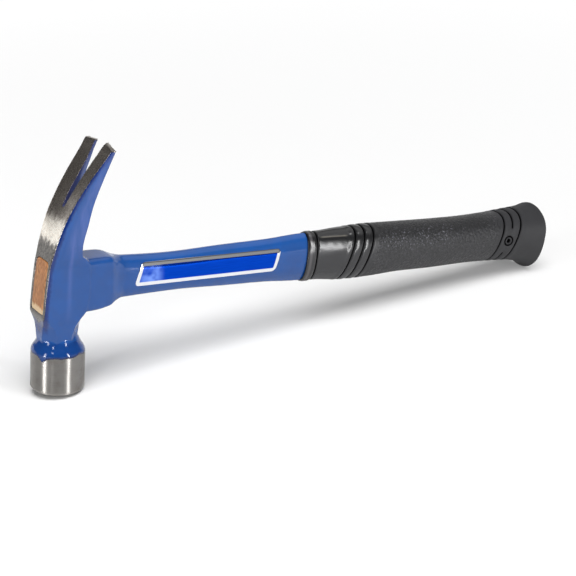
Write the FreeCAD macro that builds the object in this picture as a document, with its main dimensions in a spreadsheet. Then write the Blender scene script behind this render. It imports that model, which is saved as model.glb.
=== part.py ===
import FreeCAD, Part
import math
import os
import re
import Sketcher

# One-piece forged rip claw hammer with a wooden shock plug, a rubber grip and two foil labels.
# It is drawn in the forging's frame: X runs from the bell's axis along the handle to the butt,
# Z points from the striking face to the claws and Y to the far side. The last step turns every
# piece the same way, so that the hammer stands on the bell's rim and the butt, on Z = 0.

SIZES = {
    # bell and octagonal neck
    "bell_radius": 15.0,
    "face_drop": 60.0,
    "face_chamfer": 1.7,
    "shoulder_drop": 37.0,
    "neck_drop": 28.5,
    "neck_half": 10.8,
    "neck_setback": 0.6,
    # block behind the plug
    "block_front": 12.5,
    "block_rear": 14.0,
    "block_half": 11.5,
    "block_drop": 14.5,
    "block_rise": 12.0,
    "corner_cut": 0.9,
    # claw and nail slot
    "claw_rise": 80.0,
    "claw_reach": 23.4,
    "claw_half": 18.1,
    "claw_root": 7.9,
    "claw_edge": 0.6,
    "claw_dish": 1.3,
    "claw_relief": 1.6,
    "tip_fall": 2.4,
    "slot_mouth": 6.2,
    "slot_neck": 2.1,
    "slot_end": 1.3,
    "slot_rise": 44.0,
    # shock plug
    "plug_half": 7.7,
    "plug_rise": 15.5,
    "plug_drop": 13.4,
    "plug_depth": 12.0,
    "plug_corner": 1.6,
    "plug_gap": 0.08,
    # cheeks and shank
    "cheek_rise": 15.9,
    "cheek_drop": 13.8,
    "cheek_end": 27.5,
    "shank_start": 37.0,
    "shank_half": 6.5,
    "shank_rise": 13.2,
    "shank_drop": 11.0,
    "waist_place": 70.0,
    "waist_rise": 11.9,
    "waist_drop": 10.6,
    "lip_place": 156.0,
    "lip_rise": 14.4,
    "lip_drop": 14.8,
    "shank_tuck": 5.0,
    # tang inside the grip
    "tang_end": 316.0,
    "tang_tall": 8.5,
    "tang_half": 4.2,
    "tang_end_tall": 6.5,
    "tang_end_half": 3.4,
    # grip
    "grip_gap": 0.2,
    "grip_end": 332.6,
    "collar_rise": 15.0,
    "collar_drop": 15.3,
    "collar_half": 7.6,
    "lip_lean": 4.0,
    "palm_place": 250.0,
    "palm_rise": 14.0,
    "palm_drop": 16.6,
    "palm_half": 13.45,
    "butt_rise": 16.5,
    "butt_drop": 24.5,
    "butt_half": 19.0,
    "butt_lean": 4.5,
    "butt_round": 1.0,
    "bead_place": 159.5,
    "bead_width": 3.4,
    "bead_height": 0.4,
    "groove_width": 1.1,
    "groove_depth": 0.9,
    "groove_slant": 18.0,
    "groove_pitch": 6.4,
    "front_groove": 191.5,
    "rear_groove": 305.6,
    "vent_place": 305.0,
    "vent_drop": 1.4,
    "vent_radius": 1.1,
    "vent_ring": 3.4,
    "vent_boss": 2.5,
    "vent_clear": 8.5,
    # labels
    "label_start": 42.6,
    "label_length": 91.7,
    "label_slant": 4.0,
    "label_rise": 9.3,
    "label_drop": 3.95,
    "label_fall": 1.1,
    "label_corner": 1.4,
    "label_thick": 0.2,
    "label_gap": 0.05,
    # longest step between sections along the head, the measure for those along handle and grip
    "section_step": 2.4,
    # how far every cut runs past the surface that it opens
    "overrun": 4.0,
}

# Flare from neck to bell: its middle, across and down.
FLARE_SHARES = (0.36, 0.42)
# Neck: sections start this far down the flare.
TUCK_SHARE = 0.75
# Neck: height from the neck to the block, then how far front, rear and corner cut have changed.
NECK_SHARES = [(0.46, 0.20, 0.00, 0.10), (0.79, 0.80, 0.03, 0.73), (0.93, 0.96, 0.22, 0.94)]
# Block: height from its lower edge to its upper edge, and how far the front has moved to the claw's tip.
BLOCK_SHARES = [(0.00, 0.000), (0.55, 0.025), (1.00, 0.061)]
# Claw: rise, then front, rear and half width from root to tip, and shares of corner cut, dish and relief.
CLAW_SHARES = [
    (0.2025, 0.086, 0.245, 0.11, 1.0, 0.0, 0.0),
    (0.2425, 0.108, 0.040, 0.16, 1.0, 0.0, 0.0),
    (0.30, 0.141, 0.000, 0.23, 1.0, 0.0, 0.0),
    (0.45, 0.247, 0.132, 0.33, 1.0, 0.4, 0.0),
    (0.60, 0.408, 0.281, 0.47, 0.9, 1.0, 0.3),
    (0.75, 0.607, 0.497, 0.66, 0.7, 1.0, 0.8),
    (0.90, 0.848, 0.790, 0.86, 0.4, 0.2, 1.0),
    (1.00, 1.000, 1.000, 1.00, 0.2, 0.0, 0.2),
]
# Nail slot: height from its end to the tips, and how far the half width has grown to the mouth's.
SLOT_SHARES = [(0.30, 0.04), (0.45, 0.12), (0.56, 0.20), (0.70, 0.39), (0.84, 0.66), (1.00, 1.00)]
# Cheek's root inside the block: places from the bell's axis to the block's rear.
ROOT_SHARES = (0.3, 1.0)
# Cheek's end: place from cheek_end to shank_start, how far it has become the shank, squareness.
CHEEK_SHARES = [(0.00, 0.14, 5.0), (0.22, 0.40, 4.4), (0.52, 0.75, 3.4), (1.00, 1.00, 2.6)]
# Shank: place, rise and drop from the waist to the lip.
SHANK_SHARES = [(0.35, 0.32, 0.28), (0.70, 0.50, 0.58)]
# Grip: place, rise, drop, half thickness and lean from collar to palm, then from palm to butt.
COLLAR_SHARES = [
    (0.106, 0.0, 0.08, 0.22, 0.9),
    (0.255, -0.3, 1.08, 0.51, 0.4),
    (0.468, -0.6, 1.38, 0.80, 0.0),
    (0.734, 0.1, 0.70, 0.94, 0.0),
]
BUTT_SHARES = [
    (0.306, -0.17, -0.03, 0.01, 0.0),
    (0.551, 0.03, 0.03, 0.06, 0.1),
    (0.662, 0.20, 0.08, 0.15, 0.3),
    (0.748, 0.40, 0.15, 0.24, 0.5),
    (0.821, 0.62, 0.25, 0.41, 0.7),
    (0.882, 0.74, 0.41, 0.57, 0.9),
    (0.944, 0.84, 0.66, 0.78, 1.0),
    (1.000, 1.00, 1.00, 1.00, 1.0),
]
# Bead behind the lip and the groove behind that: place across its width, and how far it stands out.
BEAD_SHARES = [(-0.50, 0.0), (-0.40, 0.0), (-0.25, 1.1), (0.00, 1.1), (0.25, 1.1), (0.40, 0.0), (0.52, 0.0),
               (0.66, -1.8), (0.78, -1.8), (0.92, 0.0)]
OCTAGON_SHARE = 2 - math.sqrt(2)
SHANK_SQUARENESS = 2.4
CHEEK_SQUARENESS = 5.0
GRIP_SQUARENESS = 2.3
RING_POINTS = 40
CURVE_DEGREE = 3
HANDLE_STEP_SHARE = 1.5
GRIP_STEP_SHARE = 1.6
ROUND_STEPS = 5
REST_STEPS = 24

doc = FreeCAD.newDocument("claw_hammer")
sheet = doc.addObject("Spreadsheet::Sheet", "sizes")
for row, (alias, value) in enumerate(SIZES.items(), start=1):
    sheet.set(f"A{row}", alias)
    sheet.set(f"B{row}", str(value))
    sheet.setAlias(f"B{row}", alias)
doc.recompute()


def size(alias):
    return float(sheet.get(alias))


def between(start, end, share):
    return start + (end - start) * share


def bound(text):
    """The same sum with each size's name pointing at its cell."""
    return re.sub(r"[a-z_]+", lambda word: "sizes." + word.group() if word.group() in SIZES else word.group(), text)


def bind(thing, **sums):
    for prop, text in sums.items():
        thing.setExpression(prop.replace("__", "."), bound(text))
    return thing


def feature(name, shape):
    thing = doc.addObject("Part::Feature", name)
    thing.Shape = shape
    return thing


def outline(name, plane_turn, corners):
    """A closed sketch. Each corner is (across, up) as sums of sizes; a corner with two more sums is followed
    by an arc through that second point instead of a line."""
    sketch = doc.addObject("Sketcher::SketchObject", name)
    sketch.Placement = FreeCAD.Placement(FreeCAD.Vector(), plane_turn)
    places = [[float(sheet.evalExpression(bound(text))) for text in corner] for corner in corners]
    count = len(corners)
    for number, place in enumerate(places):
        start = FreeCAD.Vector(place[0], place[1])
        end = FreeCAD.Vector(*places[(number + 1) % count][:2])
        if len(place) == 4:
            passed = FreeCAD.Vector(place[2], place[3])
            clockwise = (passed - start).cross(end - passed).z < 0
            sketch.addGeometry(Part.Arc(*((end, passed, start) if clockwise else (start, passed, end))))
        else:
            sketch.addGeometry(Part.LineSegment(start, end))
    starts = []
    for number, place in enumerate(places):
        edge = sketch.Geometry[number]
        begins = edge.StartPoint.distanceToPoint(FreeCAD.Vector(place[0], place[1]))
        starts.append(1 if begins <= edge.EndPoint.distanceToPoint(FreeCAD.Vector(place[0], place[1])) else 2)
    for number in range(count):
        following = (number + 1) % count
        joint = ("Coincident", number, 3 - starts[number], following, starts[following])
        sketch.addConstraint(Sketcher.Constraint(*joint))
    for number, (corner, place) in enumerate(zip(corners, places)):
        pin_point(sketch, number, starts[number], corner[:2], place[:2])
        if len(place) == 4:
            passed = sketch.addGeometry(Part.Point(FreeCAD.Vector(place[2], place[3])), True)
            pin_point(sketch, passed, 1, corner[2:], place[2:])
            sketch.addConstraint(Sketcher.Constraint("PointOnObject", passed, 1, number))
    return sketch


def pin_point(sketch, geometry, end, sums, place):
    for kind, text, value in zip(("DistanceX", "DistanceY"), sums, place):
        held = sketch.addConstraint(Sketcher.Constraint(kind, -1, 1, geometry, end, value))
        sketch.setExpression(f"Constraints[{held}]", bound(text))


UPRIGHT = FreeCAD.Rotation(FreeCAD.Vector(1, 0, 0), 90)
FACING = FreeCAD.Rotation(FreeCAD.Vector(0, 1, 0), -90) * FreeCAD.Rotation(FreeCAD.Vector(0, 0, 1), -90)


def prism(name, sketch, direction, ahead, behind):
    """The sketch pushed out along a direction, by named sums before and behind its plane."""
    solid = doc.addObject("Part::Extrusion", name)
    solid.Base = sketch
    solid.DirMode = "Custom"
    solid.Dir = direction
    solid.Solid = True
    return bind(solid, LengthFwd=ahead, LengthRev=behind)


def join(name, pieces):
    fused = doc.addObject("Part::MultiFuse", name)
    fused.Shapes = pieces
    return fused


def cut(name, base, tool):
    part = doc.addObject("Part::Cut", name)
    part.Base = base
    part.Tool = tool
    return part


def overlap(name, pieces):
    common = doc.addObject("Part::MultiCommon", name)
    common.Shapes = pieces
    return common


def oval(place, rise, drop, half, squareness, lean, grow):
    """A ring of points across the handle: a superellipse whose upper and lower halves may differ."""
    ring = []
    for step in range(RING_POINTS):
        angle = 2 * math.pi * step / RING_POINTS
        tall = (rise if math.sin(angle) >= 0 else drop) + grow
        wide = half + grow
        reach = (abs(math.cos(angle) / wide) ** squareness + abs(math.sin(angle) / tall) ** squareness)
        reach = reach ** (-1 / squareness)
        up = reach * math.sin(angle)
        ring.append(FreeCAD.Vector(place + up * math.tan(math.radians(lean)), reach * math.cos(angle), up))
    return ring


def knots(count, degree):
    """Evenly spaced knots, and how often each counts, for a curve that starts and ends on its end poles."""
    inside = count - degree - 1
    return list(range(inside + 2)), [degree + 1] + [1] * inside + [degree + 1]


def closed_solid(faces):
    sewn = Part.makeCompound(faces)
    sewn.sewShape()
    solid = Part.Solid(sewn.Shells[0])
    return solid if solid.Volume > 0 else solid.reversed()


def tube(rings):
    """A solid with one smooth side led along the rings of points, and flat ends."""
    lengthwise = min(CURVE_DEGREE, len(rings) - 1)
    places, repeats = knots(len(rings), lengthwise)
    around = len(rings[0])
    side = Part.BSplineSurface()
    side.buildFromPolesMultsKnots(
        rings, repeats, [1] * (around + 1), places, list(range(around + 1)), False, True, lengthwise, CURVE_DEGREE
    )
    face = side.toShape()
    ends = [Part.Face(Part.Wire([edge])) for edge in face.Edges if edge.isClosed()]
    return closed_solid([face] + ends)


def ridged_tube(rings):
    """A solid with one smooth strip between each two neighbouring corners of the rings, and flat ends."""
    places, repeats = knots(len(rings), CURVE_DEGREE)
    strips = []
    for corner in range(len(rings[0])):
        strip = Part.BSplineSurface()
        poles = [[ring[corner - 1], ring[corner]] for ring in rings]
        strip.buildFromPolesMultsKnots(poles, repeats, [2, 2], places, [0, 1], False, False, CURVE_DEGREE, 1)
        strips.append(strip.toShape())
    ends = [Part.Face(Part.makePolygon(ring + ring[:1])) for ring in (rings[0], rings[-1])]
    return closed_solid(strips + ends)


def slopes(places, values):
    """Slopes of a curve through the values that never swings past them."""
    steps = list(zip(places, places[1:], values, values[1:]))
    secants = [(later - earlier) / (end - start) for start, end, earlier, later in steps]
    inner = [
        0.0 if before * after <= 0 else 2 * before * after / (before + after)
        for before, after in zip(secants, secants[1:])
    ]
    return secants[:1] + inner + secants[-1:]


def row_at(rows, place):
    """The row at a place, on smooth curves through the rows given, whose first item is their place."""
    places = [row[0] for row in rows]
    number = next((n for n, later in enumerate(places[1:]) if later >= place), len(rows) - 2)
    span = places[number + 1] - places[number]
    share = (place - places[number]) / span
    ease = share * share * (3 - 2 * share)
    row = [place]
    for column in list(zip(*rows))[1:]:
        leans = slopes(places, column)
        bend = span * share * (1 - share) * (leans[number] * (1 - share) - leans[number + 1] * share)
        row.append(between(column[number], column[number + 1], ease) + bend)
    return row


def smooth(rows, step):
    """Evenly spaced rows on smooth curves through the rows given."""
    count = math.ceil((rows[-1][0] - rows[0][0]) / step)
    return [row_at(rows, between(rows[0][0], rows[-1][0], station / count)) for station in range(count + 1)]


# Bell and round core of the neck


def make_bell():
    across_share, drop_share = FLARE_SHARES
    profile = outline("bell_profile", UPRIGHT, [
        ("0", "-face_drop"),
        ("bell_radius - face_chamfer", "-face_drop"),
        ("bell_radius", "face_chamfer - face_drop"),
        ("bell_radius", "-shoulder_drop",
         f"neck_half + (bell_radius - neck_half) * {across_share}",
         f"-neck_drop - (shoulder_drop - neck_drop) * {drop_share}"),
        ("neck_half", "-neck_drop"),
        ("neck_half", "-block_drop"),
        ("0", "-block_drop"),
    ])
    bell = doc.addObject("Part::Revolution", "bell")
    bell.Source = profile
    bell.Axis = FreeCAD.Vector(0, 0, 1)
    bell.Angle = 360
    bell.Solid = True
    return bell


# Neck, block and claw: sections across the head, from the bell's shoulder to the claw's tips


def head_section(up, front, rear, half, corner, dish, relief):
    flat = half - corner
    corners = [
        (front, flat), (front + corner, half), (rear - corner, half), (rear, flat), (rear - relief, 0),
        (rear, -flat), (rear - corner, -half), (front + corner, -half), (front, -flat),
        (front + dish, 0),
    ]
    return [FreeCAD.Vector(across, aside, up) for across, aside in corners]


def head_rows():
    """Height, front, rear, half width, corner cut, dish and relief, from the bell's shoulder to the claw's tips."""
    neck_front = -size("neck_half") - size("neck_setback")
    neck_rear = size("neck_half") - size("neck_setback")
    neck_corner = size("neck_half") * OCTAGON_SHARE
    block_front = -size("block_front")
    tip_rear = size("claw_reach") + size("claw_edge")
    rows = []
    for drop in (between(size("neck_drop"), size("shoulder_drop"), TUCK_SHARE), size("neck_drop")):
        rows.append((-drop, neck_front, neck_rear, size("neck_half"), neck_corner, 0.0, 0.0))
    for rise_share, front_share, rear_share, corner_share in NECK_SHARES:
        rows.append((
            -between(size("neck_drop"), size("block_drop"), rise_share),
            between(neck_front, block_front, front_share),
            between(neck_rear, size("block_rear"), rear_share),
            between(size("neck_half"), size("block_half"), rise_share),
            between(neck_corner, size("corner_cut"), corner_share),
            0.0,
            0.0,
        ))
    for rise_share, front_share in BLOCK_SHARES:
        rows.append((
            between(-size("block_drop"), size("block_rise"), rise_share),
            between(block_front, size("claw_reach"), front_share),
            size("block_rear"),
            size("block_half"),
            size("corner_cut"),
            0.0,
            0.0,
        ))
    for rise_share, front_share, rear_share, half_share, *edge_shares in CLAW_SHARES:
        corner_share, dish_share, relief_share = edge_shares
        rows.append((
            size("claw_rise") * rise_share,
            between(block_front, size("claw_reach"), front_share),
            between(size("claw_root"), tip_rear, rear_share),
            between(size("block_half"), size("claw_half"), half_share),
            size("corner_cut") * corner_share,
            size("claw_dish") * dish_share,
            size("claw_relief") * relief_share,
        ))
    return rows


def make_head():
    return feature("head_blank", ridged_tube([head_section(*row) for row in smooth(head_rows(), size("section_step"))]))


# Cheeks and shank, one run of sections along the handle


def handle_rows():
    """Place, rise, drop, half thickness and squareness, from inside the block to the lip of the grip."""
    cheek = (size("cheek_rise"), size("cheek_drop"), size("block_half"))
    shank = (size("shank_rise"), size("shank_drop"), size("shank_half"))
    waist = (size("waist_rise"), size("waist_drop"), size("shank_half"))
    lip = (size("lip_rise"), size("lip_drop"), size("shank_half"), SHANK_SQUARENESS)
    rows = [(size("block_rear") * place_share, *cheek, CHEEK_SQUARENESS) for place_share in ROOT_SHARES]
    for place_share, shank_share, squareness in CHEEK_SHARES:
        place = between(size("cheek_end"), size("shank_start"), place_share)
        shape = [between(thick, thin, shank_share) for thick, thin in zip(cheek, shank)]
        rows.append((place, *shape, squareness))
    rows.append((size("waist_place"), *waist, SHANK_SQUARENESS))
    for place_share, rise_share, drop_share in SHANK_SHARES:
        rows.append((
            between(size("waist_place"), size("lip_place"), place_share),
            between(size("waist_rise"), size("lip_rise"), rise_share),
            between(size("waist_drop"), size("lip_drop"), drop_share),
            size("shank_half"),
            SHANK_SQUARENESS,
        ))
    rows.append((size("lip_place"), *lip))
    rows.append((size("lip_place") + size("shank_tuck"), *lip))
    return rows


def handle_sections(grow=0.0):
    rows = smooth(handle_rows(), size("section_step") * HANDLE_STEP_SHARE)
    return [oval(*row, 0.0, grow) for row in rows]


def collar_bore_sections():
    """The shank's tucked end with the grip's clearance round it."""
    row = handle_rows()[-1]
    places = (size("lip_place") - size("shank_tuck"), row[0] + size("grip_gap"))
    return [oval(place, *row[1:], 0.0, size("grip_gap")) for place in places]


def tang_sections(grow=0.0):
    start = size("lip_place") - size("shank_tuck")
    wide = (size("tang_tall"), size("tang_tall"), size("tang_half"))
    slim = (size("tang_end_tall"), size("tang_end_tall"), size("tang_end_half"))
    return [
        oval(start, *wide, GRIP_SQUARENESS, 0.0, grow),
        oval(size("tang_end") + grow, *slim, GRIP_SQUARENESS, 0.0, grow),
    ]


# Cuts in the forging


def make_slot():
    """The nail slot, widening from its round end to the mouth between the tips."""
    reach = "(claw_rise - slot_rise)"
    side = [(f"slot_neck + (slot_mouth - slot_neck) * {half}", f"slot_rise + {reach} * {rise}")
            for rise, half in SLOT_SHARES]
    top = "claw_rise + overrun"
    left = [(f"-({across})", up) for across, up in reversed(side)]
    corners = [("-slot_end", "slot_rise + slot_end", "0", "slot_rise"), ("slot_end", "slot_rise + slot_end")]
    corners += side + [("slot_mouth", top), ("-slot_mouth", top)] + left
    sketch = outline("slot_outline", FACING, corners)
    return prism("slot", sketch, FreeCAD.Vector(1, 0, 0), "claw_reach + overrun", "block_front")


def make_tip_trim():
    """What lies past the tips: each tine's end falls away from the slot to its outer edge."""
    far = "claw_half + overrun"
    top = "claw_rise + overrun"
    outer = "claw_rise - tip_fall - tip_fall * overrun / (claw_half - slot_mouth)"
    sketch = outline("tip_outline", FACING, [
        (f"-({far})", outer),
        ("-slot_mouth", "claw_rise - claw_edge"),
        ("slot_mouth", "claw_rise - claw_edge"),
        (far, outer),
        (far, top),
        (f"-({far})", top),
    ])
    return prism("tip_trim", sketch, FreeCAD.Vector(1, 0, 0), "claw_reach + overrun", "block_front")


def plug_outline(name, gap):
    half = f"(plug_half + {gap})"
    rise = f"(plug_rise + {gap})"
    drop = f"(plug_drop + {gap})"
    return outline(name, FACING, [
        (f"-{half}", f"-{drop}"),
        (half, f"-{drop}"),
        (half, f"{rise} - plug_corner"),
        (f"{half} - plug_corner", rise),
        (f"plug_corner - {half}", rise),
        (f"-{half}", f"{rise} - plug_corner"),
    ])


PLUG_DIRECTION = FreeCAD.Vector(-1, 0, 0)


def make_pocket():
    sketch = plug_outline("pocket_outline", "plug_gap")
    return prism("pocket", sketch, PLUG_DIRECTION, "block_front + overrun", "plug_depth + plug_gap - block_front")


def make_forging(head):
    blank = join("forging_blank", [
        make_bell(), head, feature("handle_blank", tube(handle_sections())), feature("tang", tube(tang_sections())),
    ])
    claws = cut("claw_slot", blank, make_slot())
    tips = cut("claw_tips", claws, make_tip_trim())
    return cut("forged_body", tips, make_pocket())


# Shock plug, ground flush with the head


def make_plug(head):
    sketch = plug_outline("plug_outline", "0")
    block = prism("plug_block", sketch, PLUG_DIRECTION, "block_front + overrun", "plug_depth - block_front")
    return overlap("shock_plug", [block, head])


# Grip


def grip_rows():
    """Place, rise, drop, half thickness, squareness and lean, from the lip to the butt."""
    collar = (size("collar_rise"), size("collar_drop"), size("collar_half"))
    palm = (size("palm_rise"), size("palm_drop"), size("palm_half"))
    butt = (size("butt_rise"), size("butt_drop"), size("butt_half"))
    rows = [(size("lip_place"), *collar, GRIP_SQUARENESS, size("lip_lean"))]
    for place_share, *shape_shares, lean_share in COLLAR_SHARES:
        place = between(size("lip_place"), size("palm_place"), place_share)
        shape = [between(start, end, share) for start, end, share in zip(collar, palm, shape_shares)]
        rows.append((place, *shape, GRIP_SQUARENESS, size("lip_lean") * lean_share))
    rows.append((size("palm_place"), *palm, GRIP_SQUARENESS, 0.0))
    for place_share, *shape_shares, lean_share in BUTT_SHARES:
        place = between(size("palm_place"), size("grip_end") - size("butt_round"), place_share)
        shape = [between(start, end, share) for start, end, share in zip(palm, butt, shape_shares)]
        rows.append((place, *shape, GRIP_SQUARENESS, size("butt_lean") * lean_share))
    return rows


def grip_sections(grow=0.0):
    """Rings along the grip, with the bead behind its lip and the rounded edge of its butt."""
    rows = smooth(grip_rows(), size("section_step") * GRIP_STEP_SHARE)
    flush = [(row, 0.0) for row in rows if abs(row[0] - size("bead_place")) > size("bead_width")]
    bead = [
        (row_at(grip_rows(), size("bead_place") + size("bead_width") * place_share), size("bead_height") * height_share)
        for place_share, height_share in BEAD_SHARES
    ]
    rings = [oval(*row, grow + height) for row, height in sorted(flush + bead)]
    for step in range(1, ROUND_STEPS + 1):
        angle = math.radians(90 * step / ROUND_STEPS)
        place = rows[-1][0] + size("butt_round") * math.sin(angle)
        rings.append(oval(place, *rows[-1][1:], grow - size("butt_round") * (1 - math.cos(angle))))
    return rings


def groove_slab(name, place):
    """A thin slanted slab; what it takes off the grip's surface is one groove."""
    slab = doc.addObject("Part::Box", name)
    bind(slab, Length="groove_width", Width="2 * (butt_half + overrun)", Height="2 * (butt_drop + overrun)")
    turn = FreeCAD.Rotation(FreeCAD.Vector(0, 1, 0), size("groove_slant"))
    corner = FreeCAD.Vector(-size("groove_width") / 2, -size("butt_half") - size("overrun"),
                            -size("butt_drop") - size("overrun"))
    slab.Placement = FreeCAD.Placement(FreeCAD.Vector(place, 0, 0) + turn.multVec(corner), turn)
    return slab


def vent_cylinder(name, radius):
    rod = doc.addObject("Part::Cylinder", name)
    bind(rod, Radius=radius, Height="2 * (butt_half + overrun)")
    start = FreeCAD.Vector(size("vent_place"), size("butt_half") + size("overrun"), -size("vent_drop"))
    rod.Placement = FreeCAD.Placement(start, FreeCAD.Rotation(FreeCAD.Vector(1, 0, 0), 90))
    return rod


def make_grooves():
    slabs = []
    for set_name, middle in (("front", size("front_groove")), ("rear", size("rear_groove"))):
        for number in (-1, 0, 1):
            slabs.append(groove_slab(f"{set_name}_slab_{number + 2}", middle + number * size("groove_pitch")))
    broken = cut("broken_slab", slabs[4], vent_cylinder("vent_pad", "vent_clear"))
    ring = cut("vent_ring_slab", vent_cylinder("ring_outside", "vent_ring"), vent_cylinder("ring_inside", "vent_boss"))
    slabs[4] = broken
    core = feature("groove_floor", tube(grip_sections(-size("groove_depth"))))
    return cut("grooves", join("groove_slabs", slabs + [ring]), core)


def make_grip():
    blank = feature("grip_blank", tube(grip_sections()))
    bore = join("grip_bore", [
        feature("collar_bore", tube(collar_bore_sections())),
        feature("tang_bore", tube(tang_sections(size("grip_gap")))),
        vent_cylinder("vent_hole", "vent_radius"),
    ])
    return cut("grip", cut("grooved_grip", blank, make_grooves()), bore)


# Labels, foil bent round the shank's sides


def make_label(name, side):
    near = size("label_gap")
    far = near + size("label_thick")
    band = cut(name + "_band", feature(name + "_skin", tube(handle_sections(far))),
               feature(name + "_bed", tube(handle_sections(near))))
    sketch = outline(name + "_outline", UPRIGHT, [
        ("label_start", "-label_drop"),
        ("label_start + label_length", "-label_drop - label_fall"),
        ("label_start + label_length + label_slant", "label_rise - label_fall"),
        ("label_start + label_slant", "label_rise"),
    ])
    block = prism(name + "_block", sketch, FreeCAD.Vector(0, side, 0), "shank_half + overrun", "0")
    doc.recompute()
    rounded = doc.addObject("Part::Fillet", name + "_cutter")
    rounded.Base = block
    rounded.Edges = [
        (number, size("label_corner"), size("label_corner"))
        for number, edge in enumerate(block.Shape.Edges, start=1)
        if edge.BoundBox.YLength > size("shank_half")
    ]
    return overlap(name, [band, rounded])


# Whole hammer


def check(things):
    for thing in doc.Objects:
        if "Invalid" in thing.State or "Error" in thing.State:
            raise RuntimeError(f"{thing.Name} did not recompute: {thing.State}")
    for thing in things:
        if thing.Shape.isNull() or not thing.Shape.isValid():
            raise RuntimeError(f"{thing.Label} has no valid shape")


def lowest(shape, tilt):
    turned = shape.copy()
    turned.rotate(FreeCAD.Vector(), FreeCAD.Vector(0, 1, 0), tilt)
    return turned.optimalBoundingBox(False).ZMin


def resting_placement(forging, grip):
    """Tilts the hammer until rim and butt are equally low, then puts them on Z = 0, centred on the origin."""
    level, steep = 0.0, 2 * math.degrees(math.atan(size("face_drop") / size("grip_end")))
    for _ in range(REST_STEPS):
        tilt = (level + steep) / 2
        if lowest(grip.Shape, tilt) > lowest(forging.Shape, tilt):
            level = tilt
        else:
            steep = tilt
    turn = FreeCAD.Rotation(FreeCAD.Vector(0, 1, 0), tilt)
    whole = Part.makeCompound([forging.Shape, grip.Shape])
    whole.Placement = FreeCAD.Placement(FreeCAD.Vector(), turn)
    box = whole.optimalBoundingBox(False)
    return FreeCAD.Placement(FreeCAD.Vector(-box.Center.x, 0, -box.ZMin), turn)


def main():
    head = make_head()
    parts = [
        make_forging(head),
        make_plug(head),
        make_grip(),
        make_label("label_near", -1),
        make_label("label_far", 1),
    ]
    doc.recompute()
    check(parts)
    standing = resting_placement(parts[0], parts[2])
    os.makedirs("parts", exist_ok=True)
    for part in parts:
        part.Placement = standing
        shape = part.Shape
        shape.exportStep(f"parts/{part.Label}.step")
        print(part.Label, "volume", round(shape.Volume), "solids", len(shape.Solids))
    print("tilt", round(math.degrees(standing.Rotation.Angle), 3), "shift", standing.Base)


main()
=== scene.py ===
import math
import bmesh
import bpy
import numpy as np
from mathutils import Matrix, Vector


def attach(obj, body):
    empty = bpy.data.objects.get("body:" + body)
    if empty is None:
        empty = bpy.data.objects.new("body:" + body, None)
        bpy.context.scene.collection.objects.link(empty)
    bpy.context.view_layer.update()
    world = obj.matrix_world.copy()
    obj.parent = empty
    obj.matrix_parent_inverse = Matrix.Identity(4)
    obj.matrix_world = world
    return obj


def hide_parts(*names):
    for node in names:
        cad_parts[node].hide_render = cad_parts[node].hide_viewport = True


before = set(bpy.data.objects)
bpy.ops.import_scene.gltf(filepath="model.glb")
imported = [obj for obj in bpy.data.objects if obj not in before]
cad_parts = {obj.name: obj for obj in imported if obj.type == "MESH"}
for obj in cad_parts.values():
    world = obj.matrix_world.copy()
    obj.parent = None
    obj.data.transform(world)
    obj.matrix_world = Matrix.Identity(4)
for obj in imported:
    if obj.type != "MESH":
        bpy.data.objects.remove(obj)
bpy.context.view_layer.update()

# A forged rip claw hammer. Every piece is shaped in the forging's own axes, in millimetres:
# X from the bell's axis along the handle to the butt, Z from the striking face to the claws,
# Y to the far side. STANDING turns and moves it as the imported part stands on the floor.
MM = 0.001
TILT = math.radians(6.422)
SHIFT = Vector((-156.0143, 0.0, 61.1112)) * MM
STANDING = Matrix.Translation(SHIFT) @ Matrix.Rotation(TILT, 4, "Y")

# Camera: its place and its directions in the forging's axes, its lens and sensor in millimetres
CAMERA_PLACE = (-316.26, -720.74, 261.93)
CAMERA_RIGHT = (0.84997, -0.52293, 0.06402)
CAMERA_DOWN = (-0.11182, -0.29780, -0.94806)
CAMERA_AHEAD = (0.51484, 0.79866, -0.31159)
CAMERA_LENS = 94.0
SENSOR = 36.0
# how far it sees, in metres
CAMERA_REACH = 20.0


def linked(name, data):
    """A new object in the scene."""
    thing = bpy.data.objects.new(name, data)
    bpy.context.scene.collection.objects.link(thing)
    return thing


def make_camera():
    data = bpy.data.cameras.new("camera")
    data.lens = CAMERA_LENS
    data.sensor_width = SENSOR
    data.clip_end = CAMERA_REACH
    camera = linked("camera", data)
    turn = Matrix((Vector(CAMERA_RIGHT), -Vector(CAMERA_DOWN), -Vector(CAMERA_AHEAD))).transposed()
    camera.matrix_world = STANDING @ Matrix.Translation(Vector(CAMERA_PLACE) * MM) @ turn.to_4x4()
    bpy.context.scene.camera = camera


# Curves


def slopes(places, values):
    """Slopes at the places of curves through the values that never swing past them."""
    secants = np.diff(values, axis=0) / np.diff(places)[:, None]
    product = secants[:-1] * secants[1:]
    total = secants[:-1] + secants[1:]
    inner = np.where(product > 0, 2 * product / np.where(product > 0, total, 1), 0)
    return np.vstack([secants[:1], inner, secants[-1:]])


def through(rows, at):
    """Every column but the first, on smooth curves over the first, read at the places asked for."""
    rows = np.array(rows, float)
    places, values = rows[:, 0], rows[:, 1:]
    leans = slopes(places, values)
    number = np.clip(np.searchsorted(places, at) - 1, 0, len(places) - 2)
    span = (places[number + 1] - places[number])[:, None]
    share = ((at - places[number]) / span[:, 0])[:, None]
    ease = share * share * (3 - 2 * share)
    bend = span * share * (1 - share) * (leans[number] * (1 - share) - leans[number + 1] * share)
    return values[number] + (values[number + 1] - values[number]) * ease + bend


def step(value, low, high):
    """0 below low, 1 above high, smooth between."""
    share = np.clip((value - low) / (high - low), 0, 1)
    return share * share * (3 - 2 * share)


def hump(value, middle, width):
    """1 at the middle, falling to 0 on both sides."""
    return np.exp(-((value - middle) / width) ** 2)


def tangent(degrees):
    return math.tan(math.radians(degrees))


# Meshes


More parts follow.
